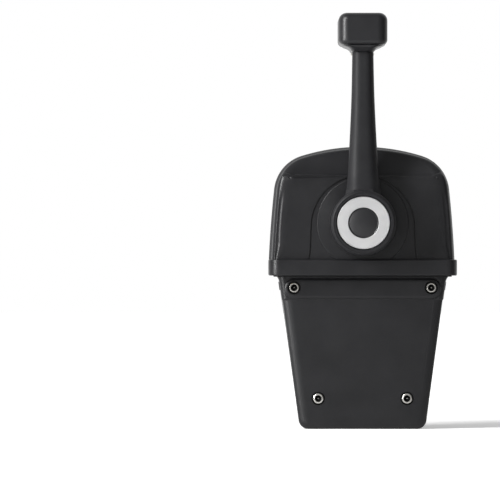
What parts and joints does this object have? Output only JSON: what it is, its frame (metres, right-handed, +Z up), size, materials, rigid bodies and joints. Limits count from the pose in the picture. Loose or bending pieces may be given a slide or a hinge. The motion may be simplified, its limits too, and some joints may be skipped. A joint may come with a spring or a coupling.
{
  "type": "boat throttle control lever",
  "caption": "Single-lever boat throttle and shift control: hub and stalk with a cross grip swing on a moulded housing over a console flange",
  "frame": {"origin": "Centre of the flange underside, which is the console plane and the centre of the four console bolts", "axes": "+Z up out of the console, -Y out of the hub along the lever shaft, +X is the way the lever swings ahead"},
  "size_m": [0.165, 0.1213, 0.364],
  "materials": {
    "black_moulding": "fine grained black glass-filled nylon moulding",
    "black_lever": "die-cast aluminium, black powder coat",
    "grip_skin": "black soft-touch moulded grip",
    "satin_ring": "satin anodised aluminium",
    "button_plastic": "black moulded button",
    "trigger_plastic": "black ribbed moulding",
    "seal_rubber": "black moulded rubber",
    "stainless": "turned stainless steel",
    "spring_steel": "spring wire",
    "machined_steel": "machined steel",
    "zinc_plate": "zinc-plated sheet steel",
    "bearing_bronze": "sintered bronze",
    "insert_brass": "knurled brass",
    "gear_acetal": "natural acetal",
    "board_laminate": "green circuit board laminate",
    "magnet": "nickel-coated magnet",
    "contact_plating": "gold-plated contacts"
  },
  "bodies": {
    "root": {"flange_plate": "black_moulding", "mounting_inserts": "insert_brass", "flange_gasket": "seal_rubber", "front_housing": "black_moulding", "seam_band": "black_moulding", "rear_cover": "black_moulding", "rear_cover_screws": "stainless", "escutcheon_disc": "black_moulding", "shaft_seal": "seal_rubber", "front_bush": "bearing_bronze", "rear_bush": "bearing_bronze", "chassis_bracket": "zinc_plate", "chassis_screws": "stainless", "detent_block": "zinc_plate", "detent_block_screws": "stainless", "detent_plug": "machined_steel", "detent_spring": "spring_steel", "friction_pad": "seal_rubber", "friction_screw": "machined_steel", "pinion_pin": "machined_steel", "sensor_board": "board_laminate", "sensor_board_screws": "stainless", "lower_housing": "black_moulding", "lower_rear_cover": "black_moulding", "front_screws": "stainless", "deck_screws": "stainless", "board_carrier": "zinc_plate", "control_board": "board_laminate", "control_board_screws": "stainless", "connector_shell": "black_moulding", "connector_contacts": "contact_plating"},
    "lever": {"lever_arm": "black_lever", "hub_ring": "satin_ring", "hub_clamp_screw": "stainless", "button_spring": "spring_steel", "spring_cap": "machined_steel", "trigger_spring": "spring_steel", "grip_base": "grip_skin", "grip_screws": "stainless", "grip_shell": "grip_skin", "shaft": "stainless", "shaft_keys": "machined_steel", "retaining_ring": "spring_steel", "shaft_spacers": "machined_steel", "detent_disc": "machined_steel", "drive_gear": "gear_acetal"},
    "button": {"neutral_button": "button_plastic"},
    "trigger": {"release_trigger": "trigger_plastic", "release_rod": "machined_steel"},
    "pinion": {"sensor_pinion": "gear_acetal", "sensor_magnet": "magnet"},
    "detent": {"detent_ball": "machined_steel"}
  },
  "joints": [
    {"name": "lever_swing", "type": "hinge", "parent": "root", "child": "lever", "pos_m": [0, -0.058, 0.046], "axis": [0, 1, 0], "range_deg": [-65, 80]},
    {"name": "button_push", "type": "slide", "parent": "lever", "child": "button", "axis": [0, 1, 0], "range_m": [0, 0.003], "stiffness_N_per_m": 600, "springref_m": -0.002},
    {"name": "trigger_lift", "type": "slide", "parent": "lever", "child": "trigger", "axis": [0, 0.1547, 0.988], "range_m": [0, 0.0035], "stiffness_N_per_m": 900, "springref_m": -0.003},
    {"name": "sensor_pinion_spin", "type": "hinge", "parent": "root", "child": "pinion", "pos_m": [0, 0.006, 0.076], "axis": [0, 1, 0], "range_deg": [-160, 130]},
    {"name": "detent_lift", "type": "slide", "parent": "root", "child": "detent", "axis": [0, 0, 1], "range_m": [0, 0.0012], "stiffness_N_per_m": 2000, "springref_m": -0.003, "deforming": ["detent_spring"]}
  ],
  "couplings": [
    {"joint": "sensor_pinion_spin", "follows": "lever_swing", "ratio": -2}
  ]
}
